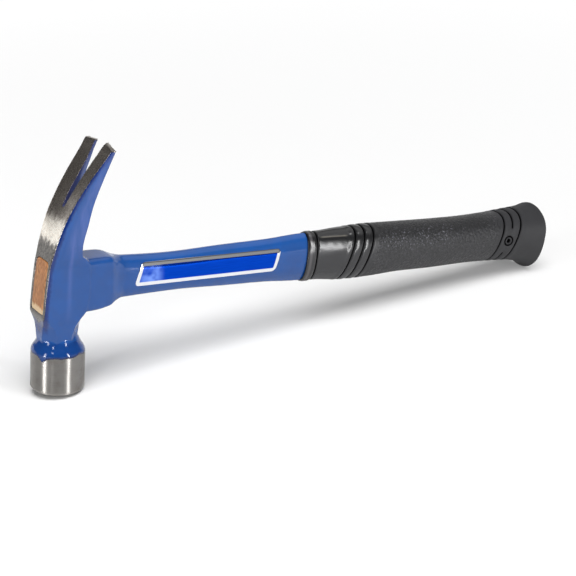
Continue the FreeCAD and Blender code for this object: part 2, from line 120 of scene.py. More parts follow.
def mesh_of(name, points, faces, smooth=True):
    mesh = bpy.data.meshes.new(name)
    mesh.from_pydata(np.asarray(points, float).tolist(), [], faces)
    mesh.validate()
    if smooth:
        mesh.shade_smooth()
    else:
        mesh.shade_flat()
    return mesh


def placed(name, mesh, *materials):
    """The mesh, in millimetres in the forging's axes, as a piece of the standing hammer."""
    mesh.transform(STANDING @ Matrix.Scale(MM, 4))
    for material in materials:
        mesh.materials.append(material)
    return linked(name, mesh)


def net(rings):
    """Points and faces of a net over rings of points, with one face across each end."""
    count, around = rings.shape[:2]
    faces = []
    for ring in range(count - 1):
        start, following = ring * around, (ring + 1) * around
        for number in range(around):
            beside = (number + 1) % around
            faces.append((start + number, following + number, following + beside, start + beside))
    faces.append(tuple(range(around)))
    faces.append(tuple(range((count - 1) * around, count * around))[::-1])
    return rings.reshape(-1, 3), faces


def outward(mesh):
    """The mesh with its faces turned outwards."""
    tool = bmesh.new()
    tool.from_mesh(mesh)
    bmesh.ops.recalc_face_normals(tool, faces=tool.faces)
    tool.to_mesh(mesh)
    tool.free()
    return mesh


def prism(name, corners, start, end):
    """A straight block along the hammer, over corners given as (aside, up)."""
    rings = [[(place, aside, up) for aside, up in corners] for place in (start, end)]
    return outward(mesh_of(name, *net(np.array(rings, float)), smooth=False))


def applied(mesh, kind, **settings):
    """The mesh with one modifier applied."""
    piece = linked("worked", mesh)
    modifier = piece.modifiers.new("step", kind)
    for name, value in settings.items():
        setattr(modifier, name, value)
    bpy.context.view_layer.update()
    result = bpy.data.meshes.new_from_object(piece.evaluated_get(bpy.context.evaluated_depsgraph_get()))
    bpy.data.objects.remove(piece)
    return result


def without(mesh, tool):
    """The mesh with the tool cut out of it."""
    cutter = linked("cutter", tool)
    result = applied(mesh, "BOOLEAN", operation="DIFFERENCE", solver="EXACT", object=cutter)
    bpy.data.objects.remove(cutter)
    return result


def points_of(mesh):
    points = np.empty(len(mesh.vertices) * 3)
    mesh.vertices.foreach_get("co", points)
    return points.reshape(-1, 3)


def relax(mesh, weight, rounds):
    """Moves each point towards its neighbours' middle, as far as its weight says."""
    points = points_of(mesh)
    edges = np.empty(len(mesh.edges) * 2, int)
    mesh.edges.foreach_get("vertices", edges)
    first, second = edges.reshape(-1, 2).T
    count = len(points)
    near = np.bincount(first, minlength=count) + np.bincount(second, minlength=count)
    for _ in range(rounds):
        middle = np.empty_like(points)
        for axis in range(3):
            middle[:, axis] = np.bincount(first, points[second, axis], count)
            middle[:, axis] += np.bincount(second, points[first, axis], count)
        middle /= near[:, None]
        points += (middle - points) * weight[:, None]
    mesh.vertices.foreach_set("co", points.ravel())
    mesh.update()


def keep(mesh, name, values):
    """Keeps one number for each point, for the material to read."""
    layer = mesh.attributes.new(name, "FLOAT", "POINT")
    layer.data.foreach_set("value", np.asarray(values, np.float32))


# Forging

NECK_HALF = 10.8
NECK_TOP = -28.5
SHOULDER = -37.0
FACE = -59.9
BELL_RADIUS = 15.0
FACE_CHAMFER = 1.7
BELL_POINTS = 144
# radius and height of the shoulder, and of the core that it has inside the neck
SHOULDER_ROWS = [
    (14.7, -35.7), (13.9, -34.2), (13.0, -33.0), (12.0, -31.2), (11.3, -29.6),
    (10.6, NECK_TOP), (9.5, -26.0), (9.5, -16.0),
]
NECK_CORNER = NECK_HALF * (2 - math.sqrt(2))
# height, front, rear, half width of the front, corner cut, dish, relief, swell of the sides behind it
HEAD_ROWS = [
    (-34.9, -10.8, 9.4, 10.1, NECK_CORNER, 0.0, 0.0, 0.0),
    (-31.5, -11.1, 9.6, 10.4, NECK_CORNER, 0.0, 0.0, 0.0),
    (-28.5, -11.4, 9.7, 10.7, NECK_CORNER, 0.0, 0.0, 0.0),
    (-22.1, -11.6, 9.9, 10.9, 5.2, 0.0, 0.0, 0.1),
    (-19.4, -12.0, 9.8, 10.8, 3.4, 0.0, 0.0, 0.5),
    (-17.4, -12.5, 9.9, 10.7, 2.2, 0.0, 0.0, 0.9),
    (-16.2, -12.8, 10.3, 10.6, 1.5, 0.0, 0.0, 1.1),
    (-15.2, -12.9, 10.9, 10.6, 1.0, 0.0, 0.0, 1.1),
    (-13.0, -12.8, 12.2, 10.6, 0.7, 0.0, 0.0, 1.1),
    (0.1, -11.7, 14.0, 10.6, 0.7, 0.0, 0.0, 1.1),
    (12.0, -10.3, 14.0, 10.7, 0.7, 0.0, 0.0, 1.1),
    (16.2, -9.4, 11.9, 10.9, 0.7, 0.0, 0.0, 1.6),
    (19.4, -8.6, 8.5, 11.2, 0.6, 0.0, 0.0, 2.0),
    (24.0, -7.4, 8.2, 11.7, 0.6, 0.0, 0.0, 2.1),
    (36.0, -3.6, 10.7, 12.8, 0.6, 0.5, 0.0, 1.6),
    (48.0, 2.1, 13.6, 13.9, 0.6, 1.3, 1.4, 0.9),
    (60.0, 9.3, 17.6, 15.1, 0.5, 1.3, 2.5, 0.8),
    (72.0, 17.7, 22.0, 16.5, 0.35, 0.5, 1.7, 0.6),
    (78.4, 22.0, 24.5, 17.4, 0.3, 0.1, 0.5, 0.5),
    (80.2, 24.2, 25.3, 17.6, 0.25, 0.0, 0.0, 0.4),
]
HEAD_STEP = 0.5
FACE_STRIPS = 10
# the sides swell over this depth, or at most this share of their own, with points at shares of it
SWELL_REACH = 5.0
SWELL_REACH_SHARE = 0.7
SWELL_SHARES = (0, 0.12, 0.3, 0.6, 1)
# place, rise, drop, half thickness, squareness
HANDLE_ROWS = [
    (4.0, 15.7, 14.5, 11.75, 9.0),
    (14.0, 15.7, 14.4, 11.3, 9.0),
    (20.0, 15.7, 14.0, 10.9, 9.0),
    (24.0, 15.7, 13.3, 10.6, 9.0),
    (27.5, 15.4, 12.8, 10.1, 7.5),
    (29.6, 14.8, 12.3, 9.1, 5.5),
    (32.4, 13.9, 11.7, 7.75, 4.0),
    (37.0, 13.2, 11.0, 6.5, 2.7),
    (70.0, 11.9, 10.6, 6.5, 2.45),
    (100.1, 12.7, 11.8, 6.5, 2.35),
    (130.2, 13.15, 13.0, 6.5, 2.15),
    (156.0, 14.4, 14.8, 6.5, 2.05),
    (161.0, 14.4, 14.8, 6.5, 2.05),
]
HANDLE_STEP = 0.6
HANDLE_POINTS = 160
# the claws' height before they are cut, and the slot: its end's height, half widths up to its mouth
TIP_HEIGHT = 80.0
SLOT_END = 44.0
SLOT_END_HALF = 1.3
SLOT_NECK = 2.1
SLOT_MOUTH = 6.2
# half width and height above it, round the slot's end
SLOT_ROUND = [(0.65, 0.2), (1.15, 0.7), (1.35, 1.5), (1.9, 6.0)]
# share of the way from the slot's end to the tips, share of the way from neck to mouth width
SLOT_SHARES = [(0.30, 0.04), (0.45, 0.12), (0.56, 0.20), (0.70, 0.39), (0.84, 0.66), (1.00, 1.00)]
# the cut of the claws' ends: how deep, over what width, how far it falls outwards, how much deeper far
TIP_CUT = 0.6
TIP_SPAN = 11.9
NEAR_TIP_FALL = 2.4
FAR_TIP_FALL = 0.9
FAR_TIP_DROP = 0.8
PLUG_HALF = 7.7
PLUG_RISE = 15.5
PLUG_DROP = 13.4
PLUG_BACK = -0.5
PLUG_CORNER = 1.6
PLUG_GAP = 0.08
# where cuts start and end along the hammer, and how far they run over the claws and beside them
CUT_START = -20.0
CUT_END = 40.0
PAST = 4.0
PAST_SPANS = 0.5
VOXEL = 0.36
# how far points move in one round of smoothing, and how many rounds all of them have
SMOOTHING = 0.5
SMOOTHING_ROUNDS = 3
# the blends at the handle's root and at the end of the cheek: middle and width, and their rounds
ROOT_ALONG = (13, 6)
ROOT_ABOVE = (17, 5)
ROOT_BELOW = (-15, 4)
CHEEK_END = (32, 5)
BLEND_ROUNDS = 25


def head_ring(up, front, rear, half, corner, dish, relief, swell):
    """One section of head or claw: dished front, swelling sides and hollow rear."""
    flat = half - corner
    across = np.linspace(-flat, flat, FACE_STRIPS + 1)
    sag = 1 - (across / flat) ** 2
    ahead = [(front + dish * share, aside) for aside, share in zip(across, sag)]
    behind = [(rear - relief * share, aside) for aside, share in zip(across[::-1], sag)]
    reach = min(SWELL_REACH, SWELL_REACH_SHARE * (rear - front - 2 * corner))
    side = [(front + corner + reach * share, half + swell * (1 - (1 - share) ** 2))
            for share in SWELL_SHARES]
    side.append((rear - corner, half + swell))
    ring = ahead + side + behind + [(depth, -aside) for depth, aside in reversed(side)]
    return [(depth, aside, up) for depth, aside in ring]


def head_mesh():
    places = np.arange(HEAD_ROWS[0][0], HEAD_ROWS[-1][0] + HEAD_STEP / 2, HEAD_STEP)
    rings = [head_ring(up, *row) for up, row in zip(places, through(HEAD_ROWS, places))]
    return outward(mesh_of("head", *net(np.array(rings))))


def oval_ring(place, rise, drop, half, squareness, lean, around):
    """A squarish oval across the hammer, taller or shorter above than below, leaning by degrees."""
    angle = np.linspace(0, 2 * math.pi, around, endpoint=False)
    tall = np.where(np.sin(angle) >= 0, rise, drop)
    reach = np.abs(np.cos(angle) / half) ** squareness + np.abs(np.sin(angle) / tall) ** squareness
    reach = reach ** (-1 / squareness)
    up = reach * np.sin(angle)
    return np.stack([place + up * tangent(lean), reach * np.cos(angle), up], axis=1)


def handle_mesh():
    places = np.arange(HANDLE_ROWS[0][0], HANDLE_ROWS[-1][0] + HANDLE_STEP / 2, HANDLE_STEP)
    rows = through(HANDLE_ROWS, places)
    rings = [oval_ring(place, *row, 0.0, HANDLE_POINTS) for place, row in zip(places, rows)]
    return outward(mesh_of("handle", *net(np.array(rings))))


def bell_mesh():
    """The bell turned round the head's axis, from its face up to the core of the neck."""
    profile = [(BELL_RADIUS - FACE_CHAMFER, FACE), (BELL_RADIUS, FACE + FACE_CHAMFER)]
    profile += [(BELL_RADIUS, SHOULDER)] + SHOULDER_ROWS
    around = np.linspace(0, 2 * math.pi, BELL_POINTS, endpoint=False)
    rings = [[(radius * math.cos(angle), radius * math.sin(angle), up) for angle in around]
             for radius, up in profile]
    return outward(mesh_of("bell", *net(np.array(rings))))


def slot_sides():
    """Half width and height, from the neck of the slot to its mouth."""
    return [(SLOT_NECK + (SLOT_MOUTH - SLOT_NECK) * half, SLOT_END + (TIP_HEIGHT - SLOT_END) * rise)
            for rise, half in SLOT_SHARES]


def slot_tool():
    right = [(half, SLOT_END + rise) for half, rise in SLOT_ROUND] + slot_sides()
    right.append((SLOT_MOUTH, TIP_HEIGHT + PAST))
    corners = right + [(-aside, up) for aside, up in reversed(right)]
    return prism("slot", corners, CUT_START, CUT_END)


def slot_half(up):
    """Half the slot's width at heights."""
    neck_half, neck_rise = SLOT_ROUND[-1]
    rows = [(SLOT_END, SLOT_END_HALF), (SLOT_END + neck_rise, neck_half)]
    rows += [(height, half) for half, height in slot_sides()]
    return through(rows, np.clip(up, SLOT_END, TIP_HEIGHT))[:, 0]


def tip_line(aside):
    """Height of the claws' ends across the head: the far one is cut lower and flatter."""
    past = (np.maximum(np.abs(aside), SLOT_MOUTH) - SLOT_MOUTH) / TIP_SPAN
    fall = np.where(aside > 0, FAR_TIP_DROP + FAR_TIP_FALL * past, NEAR_TIP_FALL * past)
    return TIP_HEIGHT - TIP_CUT - fall


def tip_tool():
    outer = SLOT_MOUTH + (1 + PAST_SPANS) * TIP_SPAN
    corners = [(aside, float(tip_line(aside))) for aside in (-outer, -SLOT_MOUTH, SLOT_MOUTH, outer)]
    corners += [(outer, TIP_HEIGHT + PAST), (-outer, TIP_HEIGHT + PAST)]
    return prism("tips", corners, CUT_START, CUT_END)


def pocket_tool():
    half, rise, drop = PLUG_HALF + PLUG_GAP, PLUG_RISE + PLUG_GAP, PLUG_DROP + PLUG_GAP
    corners = [(-half, -drop), (half, -drop), (half, rise - PLUG_CORNER), (half - PLUG_CORNER, rise),
               (PLUG_CORNER - half, rise), (-half, rise - PLUG_CORNER)]
    return prism("pocket", corners, CUT_START, PLUG_BACK)


def head_at(up):
    """The columns of HEAD_ROWS at heights."""
    return through(HEAD_ROWS, np.clip(np.atleast_1d(up), HEAD_ROWS[0][0], HEAD_ROWS[-1][0])).T


# ground steel: how far in from the sides, how deep behind the front, how fast it ends there
GROUND_INSET = 0.1
GROUND_DEPTH = 0.28
GROUND_FALL = 4
# the same beside the slot
SLOT_GROUND_INSET = 0.3
SLOT_GROUND_DEPTH = 0.2
# its lowest height, in the middle, and how fast that rises to the sides
GROUND_FOOT = -20.0
GROUND_FOOT_RISE = 0.45
# on the claws' ends: how far it comes down behind them, and how fast it ends there
TIP_GROUND = 0.5
TIP_GROUND_FALL = 1.5
# heights: the enamel's lower edge, and below which marks count from it and the bell's material starts
ENAMEL_FOOT = -37.6
BELL_MARKS_TOP = -30.0
BELL_TOP = -35.2
# drips of the enamel's lower edge on the bell: angle in degrees, how far down, width in degrees
DRIPS = [
    (-148, 2.6, 8), (-135, 0.8, 14), (-104, 0.5, 9), (-82, 0.4, 8), (-62, -0.8, 9), (-40, 0.3, 9),
    (-10, 1.1, 8), (22, 0.4, 10), (51, 1.9, 6), (80, 0.2, 10), (118, 1.0, 7), (150, 1.6, 5), (172, 0.2, 12),
]
# painted shade in the slot, where the enamel is also duller: how far it runs past the walls, heights where
# it fades and how much
SLOT_SHADE_PAST = 0.5
SLOT_SHADE_FADE = (50, 72)
SLOT_SHADE_LOSS = 0.75
# painted sheen on the rear of the sides: shares of their depth and heights over which it comes up
REAR_SHARES = (0.2, 0.6)
REAR_HEIGHTS = (12, 30)
# painted sheen in a line down the side of head and claw: height, place along the hammer, strength
SHEEN_ROWS = [
    (-20, 0.6, 0.0), (-13, 0.9, 0.45), (5, 1.2, 0.6), (25, 1.7, 1.0), (45, 7.3, 1.2), (70, 18.3, 0.8),
]
SHEEN_WIDTH = 1.4
# how far marks run past the surface that they are meant for
MARK_MARGIN = 1.0


def ground_marks(across, aside, up):
    """How far inside the ground steel points are, in millimetres; below 0 they are enamelled."""
    front, _, half, corner, dish = head_at(up)[:5]
    depth = across - front
    out = np.abs(aside)
    dish = dish * np.clip(1 - (aside / (half - corner)) ** 2, 0, 1)
    face = np.minimum(half - out - GROUND_INSET, GROUND_FALL * (dish + GROUND_DEPTH - depth))
    face = np.minimum(face, up - GROUND_FOOT - GROUND_FOOT_RISE * out)
    wall = np.maximum(out - slot_half(up) - SLOT_GROUND_INSET,
                      GROUND_FALL * (dish + SLOT_GROUND_DEPTH - depth))
    face = np.where(up > SLOT_END - MARK_MARGIN, np.minimum(face, wall), face)
    face = np.maximum(face, TIP_GROUND_FALL * (up - tip_line(aside) + TIP_GROUND))
    angle = np.degrees(np.arctan2(aside, across))
    line = np.full(len(up), ENAMEL_FOOT)
    for middle, fall, width in DRIPS:
        turn = (angle - middle + 180) % 360 - 180
        line -= fall * hump(turn, 0, width)
    return np.where(up < BELL_MARKS_TOP, line - up, face)


def forging_marks(mesh):
    """Keeps for the material where the forging is ground, where painted shade darkens the slot and where a
    painted sheen lightens the sides.
    """
    across, aside, up = points_of(mesh).T
    front, rear, half = head_at(up)[:3]
    keep(mesh, "ground", ground_marks(across, aside, up))
    inside = (np.abs(aside) < slot_half(up) + SLOT_SHADE_PAST) & (up > SLOT_END - MARK_MARGIN)
    keep(mesh, "slot", inside * (1 - SLOT_SHADE_LOSS * step(up, *SLOT_SHADE_FADE)))
    painted_sheen = step((across - front) / (rear - front), *REAR_SHARES) * step(up, *REAR_HEIGHTS)
    heights, places, strengths = np.array(SHEEN_ROWS).T
    sheen = hump(across, np.interp(up, heights, places), SHEEN_WIDTH) * np.interp(up, heights, strengths)
    side = (np.abs(aside) > half - MARK_MARGIN) * (across < rear + MARK_MARGIN) * (1 - inside)
    keep(mesh, "painted_sheen", np.maximum(painted_sheen, sheen) * side)


def turn_marks(mesh):
    """Lays the forging out with its first direction along the bell's axis, for the turned steel."""
    points = points_of(mesh)
    corners = np.empty(len(mesh.loops), int)
    mesh.loops.foreach_get("vertex_index", corners)
    layout = np.stack([points[:, 2], np.arctan2(points[:, 1], points[:, 0])], axis=1)[corners]
    layer = mesh.uv_layers.new(name="turned")
    layer.uv.foreach_set("vector", layout.astype(np.float32).ravel())
    middles = np.empty(len(mesh.polygons) * 3)
    mesh.polygons.foreach_get("center", middles)
    mesh.polygons.foreach_set("material_index", (middles[2::3] < BELL_TOP).astype(np.int32))


def make_forging(enamelled, turned):
    head = head_mesh()
    for tool in (slot_tool(), tip_tool(), pocket_tool()):
        head = without(head, tool)
    parts = bmesh.new()
    parts.from_mesh(head)
    parts.from_mesh(bell_mesh())
    parts.from_mesh(handle_mesh())
    joined = bpy.data.meshes.new("forging")
    parts.to_mesh(joined)
    parts.free()
    whole = applied(joined, "REMESH", mode="VOXEL", voxel_size=VOXEL, use_smooth_shade=True)
    relax(whole, np.full(len(whole.vertices), SMOOTHING), SMOOTHING_ROUNDS)
    along, _, up = points_of(whole).T
    roots = hump(along, *ROOT_ALONG) * (hump(up, *ROOT_ABOVE) + hump(up, *ROOT_BELOW))
    relax(whole, SMOOTHING * np.clip(roots + hump(along, *CHEEK_END), 0, 1), BLEND_ROUNDS)
    forging_marks(whole)
    turn_marks(whole)
    piece = placed("forged_body_finish", whole, enamelled, turned)
    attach(piece, "root")
    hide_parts("forged_body")


# Shock plug

PLUG_ROWS = 60
# how much its edges are rounded along its sides, and within a last stretch at its ends
PLUG_EDGE = 0.35
PLUG_END_EDGE = 0.9
PLUG_END_STRETCH = 0.5
# its front falls off by this much at the sides, over this width
PLUG_CROWN = 0.1
PLUG_CROWN_WIDTH = 2.0
PLUG_STRIPS = 8


def make_plug(wood):
    rings = []
    for up in np.linspace(-PLUG_DROP, PLUG_RISE, PLUG_ROWS):
        half = PLUG_HALF - max(0.0, up - (PLUG_RISE - PLUG_CORNER))
        front = float(head_at(up)[0, 0])
        along_sides = PLUG_END_STRETCH - PLUG_DROP < up < PLUG_RISE - PLUG_END_STRETCH
        edge = PLUG_EDGE if along_sides else PLUG_END_EDGE
        crown = half - PLUG_CROWN_WIDTH
        ring = [(front + edge, -half), (front + PLUG_CROWN, -half + edge)]
        ring += [(front, aside) for aside in np.linspace(-crown, crown, PLUG_STRIPS + 1)]
        ring += [(front + PLUG_CROWN, half - edge), (front + edge, half)]
        ring += [(PLUG_BACK, half), (PLUG_BACK, -half)]
        rings.append([(across, aside, up) for across, aside in ring])
    piece = placed("shock_plug_wood", outward(mesh_of("plug", *net(np.array(rings)))), wood)
    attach(piece, "root")
    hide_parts("shock_plug")


# Grip

# place, rise, drop, half thickness, lean in degrees
GRIP_ROWS = [
    (156.0, 14.75, 15.1, 7.4, 4.0),
    (166.0, 14.7, 15.3, 8.8, 3.6),
    (180.0, 15.3, 16.7, 10.6, 1.6),
    (200.0, 15.6, 17.1, 12.3, 0.0),
    (225.0, 14.9, 16.2, 13.1, 0.0),
    (250.0, 14.0, 16.6, 13.45, 0.0),
    (275.0, 13.6, 16.4, 13.5, 0.0),
    (295.0, 14.1, 16.8, 13.8, 0.45),
    (304.0, 14.5, 17.2, 14.3, 1.35),
    (311.0, 15.0, 17.8, 14.8, 2.25),
    (317.0, 15.55, 18.6, 15.7, 3.15),
    (322.0, 16.1, 19.8, 16.6, 4.05),
    (327.0, 16.8, 21.8, 17.8, 4.5),
    (331.25, 17.8, 24.4, 18.85, 4.5),
]
GRIP_SQUARENESS = 2.3
# its upper half gets rounder towards the butt, between these places
BUTT_SQUARER = -0.35
BUTT_SQUARER_PLACES = (305, 330)
GRIP_STEP = 0.32
GRIP_POINTS = 224
# the leans of the grooves and of the lip, in degrees
SLANT = 18.0
LIP_LEAN = 4.0
GROOVE_PITCH = 6.4
FRONT_GROOVES = [185.1 + GROOVE_PITCH * number for number in range(3)]
REAR_GROOVES = [299.2 + GROOVE_PITCH * number for number in range(3)]
GROOVE_WIDTH = 0.55
GROOVE_DEPTH = 1.3
# the ridges round the grooves: how far they start and stop outside, how high they stand and swell
RIDGE_REACH = 5.0
RIDGE_EDGE = 1.0
RIDGE_STAND = 0.1
RIDGE_SWELL = 0.2
# the vent between the rear grooves: its middle, the gap in the middle groove, its ring and its hole
VENT_PLACE = 305.0
VENT_DROP = 1.4
VENT_CLEAR = (7.5, 9.5)
VENT_RING = 3.0
VENT_RING_WIDTH = 0.5
VENT_RING_DEPTH = 0.8
VENT_HOLE = (1.0, 1.7)
VENT_HOLE_DEPTH = 2.2
# how much painted shade darkens the hole
VENT_HOLE_MARK = 1.4
# the bead of the collar: where it rises and falls, how high it stands, and the groove behind it
BEAD_START = (155.6, 157.6)
BEAD_END = (160.2, 162.0)
BEAD_RISE = 0.45
BEAD_GROOVE = 162.4
BEAD_GROOVE_WIDTH = 0.45
# the lip's opening: place, rise, drop, half thickness, squareness, lean; and how deep it runs
LIP_OPENING = (156.0, 14.1, 14.5, 6.2, 2.4, 4.0)
LIP_DEPTHS = (3.0, 0.4)
# round the lip's edge: how far in from the outside, how far along the hammer
LIP_EDGE = [(0.9, 0.0), (0.45, 0.05), (0.12, 0.3)]
BUTT_ROUND = 1.0
BUTT_ROUND_STEPS = 5
BUTT_SHARES = (0.93, 0.8, 0.6, 0.4, 0.2, 0.05)


def grip_carving(points):
    """How far each point of the rubber stands out, and how much of it is a groove, ring or hole that gets
    painted shade.
    """
    along, _, up = points.T
    slanted = along - up * tangent(SLANT)
    leaned = along - up * tangent(LIP_LEAN)
    vent = np.hypot(along - VENT_PLACE, up + VENT_DROP)
    carved = np.zeros(len(points))
    for place in FRONT_GROOVES + REAR_GROOVES:
        groove = hump(slanted, place, GROOVE_WIDTH)
        if place == REAR_GROOVES[1]:
            groove = groove * step(vent, *VENT_CLEAR)
        carved += groove
    carved += hump(leaned, BEAD_GROOVE, BEAD_GROOVE_WIDTH)
    ring = hump(vent, VENT_RING, VENT_RING_WIDTH)
    hole = 1 - step(vent, *VENT_HOLE)
    relief = -GROOVE_DEPTH * carved - VENT_RING_DEPTH * ring - VENT_HOLE_DEPTH * hole
    for grooves in (FRONT_GROOVES, REAR_GROOVES):
        first, last = grooves[0], grooves[-1]
        ridges = step(slanted, first - RIDGE_REACH, first - RIDGE_EDGE)
        ridges *= 1 - step(slanted, last + RIDGE_EDGE, last + RIDGE_REACH)
        swell = np.sin(math.pi * (slanted - first) / GROOVE_PITCH) ** 2
        relief += ridges * (RIDGE_STAND + RIDGE_SWELL * swell)
    relief += BEAD_RISE * step(leaned, *BEAD_START) * (1 - step(leaned, *BEAD_END))
    return relief, np.clip(carved + ring + VENT_HOLE_MARK * hole, 0, 1)


def forward(distance):
    return np.array([distance, 0, 0])


def grip_lip(first, middle, radius):
    """Rings from inside the opening, round the lip's edge, up to the grip's first ring."""
    lip = [oval_ring(*LIP_OPENING, GRIP_POINTS) + forward(depth) for depth in LIP_DEPTHS]
    for inward, ahead in LIP_EDGE:
        lip.append(middle + (first - middle) * (1 - inward / radius) + forward(ahead))
    return lip


def grip_butt(last, middle, radius):
    """Rings from the grip's last ring, round the butt's edge and in over its end."""
    butt = []
    for angle in np.linspace(0, math.pi / 2, BUTT_ROUND_STEPS + 1)[1:]:
        shrink = 1 - BUTT_ROUND * (1 - math.cos(angle)) / radius
        butt.append(middle + (last - middle) * shrink + forward(BUTT_ROUND * math.sin(angle)))
    centre = middle + forward(BUTT_ROUND)
    return butt + [centre + (butt[-1] - centre) * share for share in BUTT_SHARES]


def grip_mesh():
    places = np.append(np.arange(GRIP_ROWS[0][0], GRIP_ROWS[-1][0], GRIP_STEP), GRIP_ROWS[-1][0])
    above = np.clip(np.sin(np.linspace(0, 2 * math.pi, GRIP_POINTS, endpoint=False)), 0, 1)
    rings = []
    for place, (rise, drop, half, lean) in zip(places, through(GRIP_ROWS, places)):
        squareness = GRIP_SQUARENESS + BUTT_SQUARER * step(place, *BUTT_SQUARER_PLACES) * above
        rings.append(oval_ring(place, rise, drop, half, squareness, lean, GRIP_POINTS))
    rings = np.array(rings)
    middle = rings.mean(axis=1, keepdims=True)
    out = rings - middle
    out[:, :, 0] = 0
    radius = np.linalg.norm(out, axis=2, keepdims=True)
    relief, carved = grip_carving(rings.reshape(-1, 3))
    rings = rings + out / radius * relief.reshape(radius.shape)
    lip = grip_lip(rings[0], middle[0], radius[0])
    butt = grip_butt(rings[-1], middle[-1], radius[-1])
    mesh = outward(mesh_of("grip", *net(np.concatenate([lip, rings, butt]))))
    uncarved = [np.zeros(len(part) * GRIP_POINTS) for part in (lip, butt)]
    keep(mesh, "carved", np.concatenate([uncarved[0], carved, uncarved[1]]))
    return mesh


def make_grip(rubber):
    piece = placed("grip_rubber", grip_mesh(), rubber)
    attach(piece, "root")
    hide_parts("grip")


# Labels

# place and height of the corners, from the lower front one round by the lower rear one
LABEL_CORNERS = [(42.6, -3.95), (134.3, -5.05), (138.3, 8.2), (46.8, 9.3)]
LABEL_LENGTH = LABEL_CORNERS[1][0] - LABEL_CORNERS[0][0]
LABEL_HEIGHT = 13.4
LABEL_COLUMNS = 230
LABEL_ROWS = 36
LABEL_BORDER = 2.1
LABEL_ROUND = 2.6
# its lift off the shank, and how much more it has inside the rim, over which inset that comes up
LABEL_LIFT = 0.02
LABEL_STAND = 0.16
LABEL_RISE = (-0.1, 0.25)
TINY = 1e-6


def shank_side(along, up):
    """Half the handle's thickness at places and heights."""
    rise, drop, half, squareness = through(HANDLE_ROWS, along).T
    tall = np.where(up >= 0, rise, drop)
    return half * (1 - np.abs(up / tall) ** squareness) ** (1 / squareness)


def label_grid():
    """Place, height and inset from the rim of a grid of points whose corners are squeezed round."""
    shares = np.linspace(0, 1, LABEL_COLUMNS), np.linspace(0, 1, LABEL_ROWS)
    share_long, share_tall = np.meshgrid(*shares, indexing="ij")
    long_in = np.minimum(share_long, 1 - share_long) * LABEL_LENGTH
    tall_in = np.minimum(share_tall, 1 - share_tall) * LABEL_HEIGHT
    ahead = np.maximum(LABEL_ROUND - long_in, 0)
    aloft = np.maximum(LABEL_ROUND - tall_in, 0)
    squeeze = 1 - np.maximum(ahead, aloft) / np.maximum(np.hypot(ahead, aloft), TINY)
    squeeze = np.where(np.minimum(ahead, aloft) > 0, squeeze, 0)
    share_long = share_long + np.sign(0.5 - share_long) * squeeze * ahead / LABEL_LENGTH
    share_tall = share_tall + np.sign(0.5 - share_tall) * squeeze * aloft / LABEL_HEIGHT
    corners = np.array(LABEL_CORNERS)
    lower = corners[0] + (corners[1] - corners[0]) * share_long[..., None]
    upper = corners[3] + (corners[2] - corners[3]) * share_long[..., None]
    along, up = (lower + (upper - lower) * share_tall[..., None]).reshape(-1, 2).T
    return along, up, np.minimum(long_in, tall_in).ravel()


def make_label(name, side, foil):
    along, up, inset = label_grid()
    lift = LABEL_LIFT + LABEL_STAND * step(inset, *LABEL_RISE)
    points = np.stack([along, side * (shank_side(along, up) + lift), up], axis=1)
    faces = []
    for column in range(LABEL_COLUMNS - 1):
        for row in range(LABEL_ROWS - 1):
            spot = column * LABEL_ROWS + row
            faces.append((spot, spot + LABEL_ROWS, spot + LABEL_ROWS + 1, spot + 1))
    mesh = mesh_of(name, points, faces)
    keep(mesh, "inset", inset)
    if side > 0:
        mesh.flip_normals()
    piece = placed(name + "_foil", mesh, foil)
    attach(piece, "root")
    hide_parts(name)


# Materials


def paint(red, green, blue):
    """A colour given as screen values, in the renderer's own scale."""
    shares = [value / 255 for value in (red, green, blue)]
    return tuple(s / 12.92 if s <= 0.04045 else ((s + 0.055) / 1.055) ** 2.4 for s in shares) + (1.0,)


class Graph:
    """A node tree under construction; each call adds nodes and returns an output."""

    def __init__(self, tree):
        self.tree = tree

    def add(self, kind, **settings):
        node = self.tree.nodes.new(kind)
        for name, value in settings.items():
            setattr(node, name, value)
        return node

    def feed(self, socket, value):
        if isinstance(value, bpy.types.NodeSocket):
            self.tree.links.new(value, socket)
        else:
            socket.default_value = value

    def maths(self, operation, first, second=0.0, third=0.0):
        node = self.add("ShaderNodeMath", operation=operation)
        for socket, value in zip(node.inputs, (first, second, third)):
            self.feed(socket, value)
        return node.outputs[0]

    def times(self, first, second):
        return self.maths("MULTIPLY", first, second)

    def plus(self, base, value, factor=1.0):
        """The base plus a value times a factor."""
        return self.maths("MULTIPLY_ADD", value, factor, base)

    def other(self, share):
        """What a share leaves of 1."""
        return self.maths("SUBTRACT", 1.0, share)

    def axis(self, name, place):
        node = self.add("ShaderNodeSeparateXYZ")
        self.feed(node.inputs[0], place)
        return node.outputs[name]

    def span(self, value, low, high, start=0.0, end=1.0, kind="LINEAR"):
        """From start, where the value is low, to end, where it is high."""
        node = self.add("ShaderNodeMapRange", interpolation_type=kind)
        self.feed(node.inputs["Value"], value)
        for name, number in (("From Min", low), ("From Max", high), ("To Min", start), ("To Max", end)):
            self.feed(node.inputs[name], number)
        return node.outputs["Result"]

    def band(self, value, low, high):
        """0 at low, 1 at high, smooth between."""
        return self.span(value, low, high, kind="SMOOTHSTEP")

    def window(self, value, low, high, soft):
        """1 between low and high, falling to 0 outside."""
        rise = self.band(value, low - soft, low + soft)
        return self.times(rise, self.other(self.band(value, high - soft, high + soft)))

    def lerp(self, share, first, second):
        node = self.add("ShaderNodeMix", data_type="FLOAT")
        self.feed(node.inputs[0], share)
        self.feed(node.inputs[2], first)
        self.feed(node.inputs[3], second)
        return node.outputs[0]


